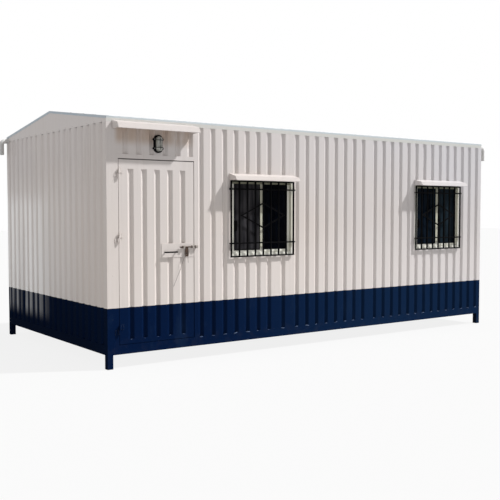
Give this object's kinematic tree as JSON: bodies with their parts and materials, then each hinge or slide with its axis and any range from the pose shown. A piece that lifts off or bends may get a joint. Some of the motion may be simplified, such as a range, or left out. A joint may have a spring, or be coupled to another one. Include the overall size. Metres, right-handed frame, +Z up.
{
  "type": "portable cabin",
  "caption": "Portable steel site cabin with white and navy pressed sheet walls, low gable roof, hinged door with sliding latch bolt and barred sliding windows under small canopies.",
  "frame": {"origin": "middle of the box that holds the cabin, at ground level", "axes": "+X along the front wall from the door to the right end, -Y out of the front wall, +Z up"},
  "size_m": [6.326, 3.198, 2.8692],
  "materials": {
    "wall_paint": "gloss enamel on steel, white above and navy below the sill line",
    "navy_paint": "gloss navy enamel on steel",
    "roof_paint": "grey blue enamel on steel",
    "black_paint": "black enamel",
    "latch_steel": "worn white paint over steel",
    "rusty_steel": "rusted bare steel",
    "ivory_frame": "ivory coated aluminium",
    "tinted_glass": "dark tinted glass",
    "lamp_glass": "clear glass",
    "spout_plastic": "white pipe",
    "floor_board": "floor board",
    "lining_board": "plain lining board"
  },
  "bodies": {
    "cabin": {"corner_posts": "wall_paint", "base_rail_front": "navy_paint", "base_rail_back": "navy_paint", "base_rail_ends": "navy_paint", "floor_joists": "navy_paint", "floor_deck": "floor_board", "gutter_front": "wall_paint", "gutter_back": "wall_paint", "sheet_over_door": "wall_paint", "sheet_beside_door": "wall_paint", "sheet_window_bay_1": "wall_paint", "sheet_middle": "wall_paint", "sheet_window_bay_2": "wall_paint", "sheet_front_right": "wall_paint", "sheet_back": "wall_paint", "sheet_left": "wall_paint", "sheet_right": "wall_paint", "lining_front": "lining_board", "lining_back": "lining_board", "lining_left": "lining_board", "lining_right": "lining_board", "gable_left": "wall_paint", "gable_right": "wall_paint", "roof_sheet_front": "roof_paint", "roof_sheet_back": "roof_paint", "ridge_cap": "roof_paint", "verge_left": "roof_paint", "verge_right": "roof_paint", "rain_spouts": "spout_plastic", "door_jambs": "wall_paint", "door_head": "wall_paint", "hinge_frame_halves": "wall_paint", "latch_keeper": "latch_steel", "door_canopy": "wall_paint", "window_frames": "ivory_frame", "window_sashes": "ivory_frame", "window_panes": "tinted_glass", "window_grilles": "black_paint", "window_canopies": "wall_paint", "lamp_body": "black_paint", "lamp_glass": "lamp_glass"},
    "door": {"door_leaf": "wall_paint", "hinge_leaf_halves": "wall_paint", "latch_plate": "wall_paint", "latch_guides": "latch_steel", "pull_handle": "black_paint"},
    "latch_bolt": {"latch_bolt": "rusty_steel"}
  },
  "joints": [
    {"name": "door_hinge", "type": "hinge", "parent": "cabin", "child": "door", "pos_m": [-2.9085, -1.463, 1.246], "axis": [0, 0, -1], "range_deg": [0, 165]},
    {"name": "bolt_slide", "type": "slide", "parent": "door", "child": "latch_bolt", "axis": [1, 0, 0], "range_m": [0, 0.04]}
  ]
}
